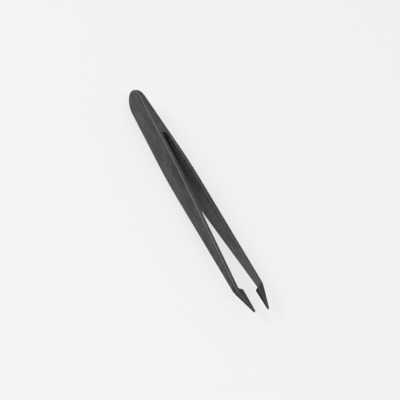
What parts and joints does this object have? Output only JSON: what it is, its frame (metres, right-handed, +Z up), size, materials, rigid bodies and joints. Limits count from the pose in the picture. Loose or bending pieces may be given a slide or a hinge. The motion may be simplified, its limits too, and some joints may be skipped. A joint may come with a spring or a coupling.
{
  "type": "tweezers",
  "caption": "Pointed plastic tweezers with a rounded closed end, a long slot between springy arms that taper along their length, and wedge jaws whose tips meet when squeezed.",
  "frame": {"origin": "middle of the lower side: middle of the bounding box in X and Y, at its lowest Z", "axes": "+X from the closed end to the tips, +Y towards the left arm, the way the arms open, +Z up across the arms' width"},
  "size_m": [0.115, 0.0128, 0.0106],
  "materials": {
    "filled_plastic": "matt dark grey moulding in carbon-filled conductive plastic, with a fine mottled grain"
  },
  "bodies": {
    "closed_end": {"closed_end": "filled_plastic"},
    "left_spring": {"left_spring": "filled_plastic"},
    "left_arm": {"left_arm": "filled_plastic", "left_jaw": "filled_plastic"},
    "right_spring": {"right_spring": "filled_plastic"},
    "right_arm": {"right_arm": "filled_plastic", "right_jaw": "filled_plastic"}
  },
  "joints": [
    {"name": "left_spring_bend", "type": "hinge", "parent": "closed_end", "child": "left_spring", "pos_m": [-0.0255, 0.00215, 0.0053], "axis": [0, 0, -1], "range_deg": [0, 1.11], "stiffness_Nm_per_rad": 0.8},
    {"name": "left_arm_bend", "type": "hinge", "parent": "left_spring", "child": "left_arm", "pos_m": [-0.0115, 0.00291, 0.0053], "axis": [0, 0, -1], "range_deg": [0, 1.11], "stiffness_Nm_per_rad": 0.45},
    {"name": "right_spring_bend", "type": "hinge", "parent": "closed_end", "child": "right_spring", "pos_m": [-0.0255, -0.00215, 0.0053], "axis": [0, 0, 1], "range_deg": [0, 1.11], "stiffness_Nm_per_rad": 0.8},
    {"name": "right_arm_bend", "type": "hinge", "parent": "right_spring", "child": "right_arm", "pos_m": [-0.0115, -0.00291, 0.0053], "axis": [0, 0, 1], "range_deg": [0, 1.11], "stiffness_Nm_per_rad": 0.45}
  ],
  "couplings": [
    {"joint": "left_arm_bend", "follows": "left_spring_bend", "ratio": 1},
    {"joint": "right_arm_bend", "follows": "right_spring_bend", "ratio": 1}
  ]
}
